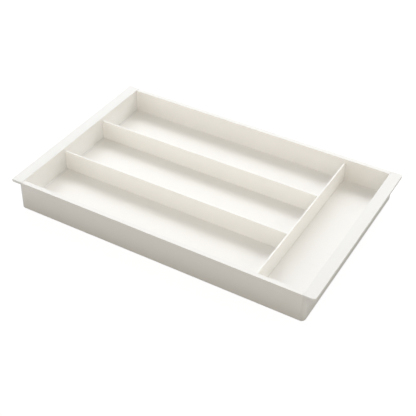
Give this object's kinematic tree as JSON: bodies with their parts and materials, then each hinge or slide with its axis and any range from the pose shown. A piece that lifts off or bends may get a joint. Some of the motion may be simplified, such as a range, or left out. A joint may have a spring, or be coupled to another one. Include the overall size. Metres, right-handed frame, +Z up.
{
  "type": "drawer organizer tray",
  "caption": "Shallow rectangular drawer insert with a flat hanging flange at each end, long parallel compartments and one cross compartment, split by lift-out dividers.",
  "frame": {"origin": "under the middle of the tray, on the plane that its underside rests on", "axes": "+X along the length from the left flange to the right flange, -Y at the front, +Z up"},
  "size_m": [0.34, 0.215, 0.0332],
  "materials": {
    "trough_plastic": "satin warm white",
    "end_plastic": "fine-grained satin warm white",
    "divider_plastic": "satin warm white"
  },
  "bodies": {
    "tray": {"trough": "trough_plastic", "left_end": "end_plastic", "right_end": "end_plastic"},
    "cross_divider_body": {"cross_divider": "divider_plastic"},
    "front_divider_body": {"front_divider": "divider_plastic"},
    "rear_divider_body": {"rear_divider": "divider_plastic"}
  },
  "joints": [
    {"name": "cross_divider_lift", "type": "slide", "parent": "tray", "child": "cross_divider_body", "axis": [0, 0, 1], "range_m": [0, 0.035]},
    {"name": "front_divider_lift", "type": "slide", "parent": "tray", "child": "front_divider_body", "axis": [0, 0, 1], "range_m": [0, 0.035]},
    {"name": "rear_divider_lift", "type": "slide", "parent": "tray", "child": "rear_divider_body", "axis": [0, 0, 1], "range_m": [0, 0.035]}
  ]
}
